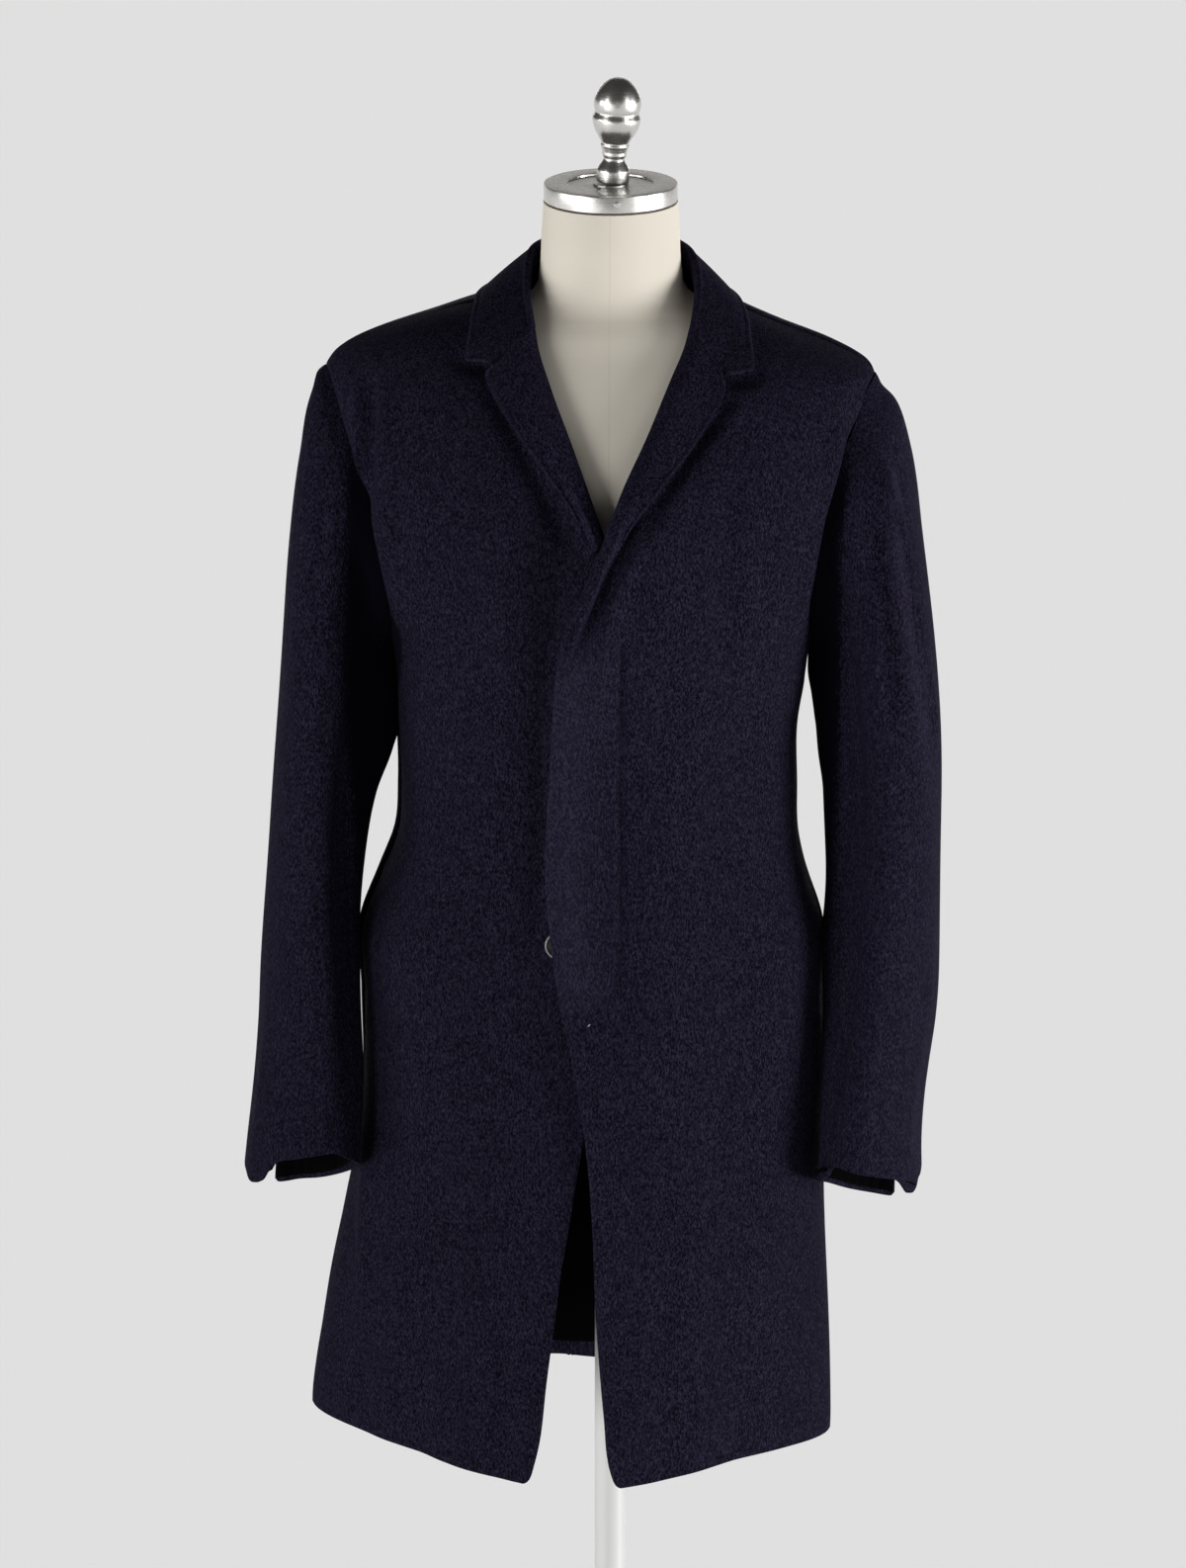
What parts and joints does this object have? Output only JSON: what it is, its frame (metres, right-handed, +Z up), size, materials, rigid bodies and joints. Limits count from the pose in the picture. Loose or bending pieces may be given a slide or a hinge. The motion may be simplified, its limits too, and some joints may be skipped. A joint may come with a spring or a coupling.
{
  "type": "wool overcoat on dress form",
  "caption": "Single-breasted wool overcoat with notched lapels and a covered fly, hanging open at the skirt on a limbless dress form with a pole and a round base.",
  "frame": {"origin": "centre of the underside of the stand's base, on the floor", "axes": "+Z up, -Y the way the coat's front faces, +X towards the wearer's left"},
  "size_m": [0.5683, 0.38, 1.6301],
  "materials": {
    "navy_wool": "brushed, short nap",
    "black_lining": "smooth twill",
    "dark_horn": "satin",
    "cream_canvas": "smooth canvas",
    "turned_aluminium": "turned",
    "pale_painted_steel": "satin paint"
  },
  "bodies": {
    "root": {"front_left": "navy_wool", "front_right": "navy_wool", "back_left": "navy_wool", "back_right": "navy_wool", "top_sleeve_left": "navy_wool", "top_sleeve_right": "navy_wool", "under_sleeve_left": "navy_wool", "under_sleeve_right": "navy_wool", "lapel_left": "navy_wool", "lapel_right": "navy_wool", "collar": "navy_wool", "collar_stand": "navy_wool", "fly_strip": "navy_wool", "lining_back": "black_lining", "cuff_lining_left": "black_lining", "cuff_lining_right": "black_lining", "button_1": "dark_horn", "button_2": "dark_horn", "button_3": "dark_horn", "button_4": "dark_horn", "dress_form": "cream_canvas", "neck_cap": "turned_aluminium", "knob": "turned_aluminium", "pole": "pale_painted_steel", "base": "pale_painted_steel"}
  },
  "joints": []
}
